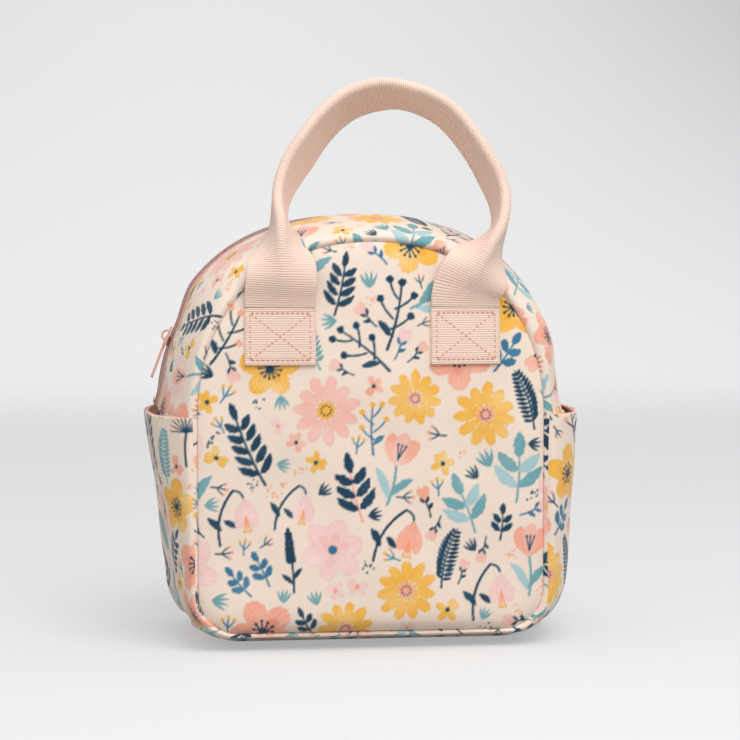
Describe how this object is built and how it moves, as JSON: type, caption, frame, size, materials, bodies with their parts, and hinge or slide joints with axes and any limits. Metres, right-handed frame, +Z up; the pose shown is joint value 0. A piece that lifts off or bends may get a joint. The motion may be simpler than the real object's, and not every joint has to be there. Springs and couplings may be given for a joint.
{
  "type": "lunch bag",
  "caption": "Soft insulated lunch bag with a domed top, arch zip, opening front flap, two side pockets and a webbing carry handle.",
  "frame": {"origin": "centre of the flat base, on the floor", "axes": "+Z up, front panel faces -Y, zip pull on the -X side"},
  "size_m": [0.237, 0.1453, 0.3071],
  "materials": {
    "print_fabric": "matt printed neoprene-like cloth",
    "foam": "white closed-cell foam",
    "lining": "smooth wipe-clean lining",
    "board": "stiff board",
    "binding": "woven peach tape",
    "zip_tape": "woven peach tape",
    "zip_chain": "satin coil",
    "zip_metal": "satin paint",
    "webbing": "ribbed webbing",
    "thread": "sewing thread"
  },
  "bodies": {
    "bag": {"front_panel_lower": "print_fabric", "back_panel": "print_fabric", "back_gusset": "print_fabric", "side_panel_left": "print_fabric", "side_panel_right": "print_fabric", "base_panel": "print_fabric", "pocket_left": "print_fabric", "pocket_right": "print_fabric", "foam_front_lower": "foam", "foam_back": "foam", "foam_back_gusset": "foam", "foam_side_left": "foam", "foam_side_right": "foam", "foam_base": "foam", "lining_front_lower": "lining", "lining_back": "lining", "lining_back_gusset": "lining", "lining_side_left": "lining", "lining_side_right": "lining", "lining_base": "lining", "base_board": "board", "pocket_binding_left": "binding", "pocket_binding_right": "binding", "zip_tape_front_ends": "zip_tape", "zip_tape_back": "zip_tape", "zip_chain_front_ends": "zip_chain", "zip_chain_back": "zip_chain", "zip_stops": "zip_metal"},
    "front_flap": {"front_panel_upper": "print_fabric", "front_gusset": "print_fabric", "foam_front_upper": "foam", "foam_front_gusset": "foam", "lining_front_upper": "lining", "lining_front_gusset": "lining", "zip_tape_front": "zip_tape", "zip_chain_front": "zip_chain", "handle_tab_left": "webbing", "handle_tab_right": "webbing", "tab_stitching_left": "thread", "tab_stitching_right": "thread"},
    "handle": {"handle": "webbing"},
    "zip_slider": {"zip_slider": "zip_metal"},
    "zip_pull": {"zip_pull": "zip_metal"}
  },
  "joints": [
    {"name": "flap_fold", "type": "hinge", "parent": "bag", "child": "front_flap", "pos_m": [0, -0.0666, 0.124], "axis": [1, 0, 0], "range_deg": [0, 35]},
    {"name": "handle_swing", "type": "hinge", "parent": "front_flap", "child": "handle", "pos_m": [0, -0.06573, 0.18315], "axis": [1, 0, 0], "range_deg": [0, 140]},
    {"name": "slider_travel", "type": "hinge", "parent": "bag", "child": "zip_slider", "pos_m": [0, 0.008, 0.124], "axis": [0, 1, 0], "range_deg": [-14, 151]},
    {"name": "pull_swing", "type": "hinge", "parent": "zip_slider", "child": "zip_pull", "pos_m": [-0.1066, 0.008, 0.16382], "axis": [0, 1, 0], "range_deg": [0, 150]}
  ]
}
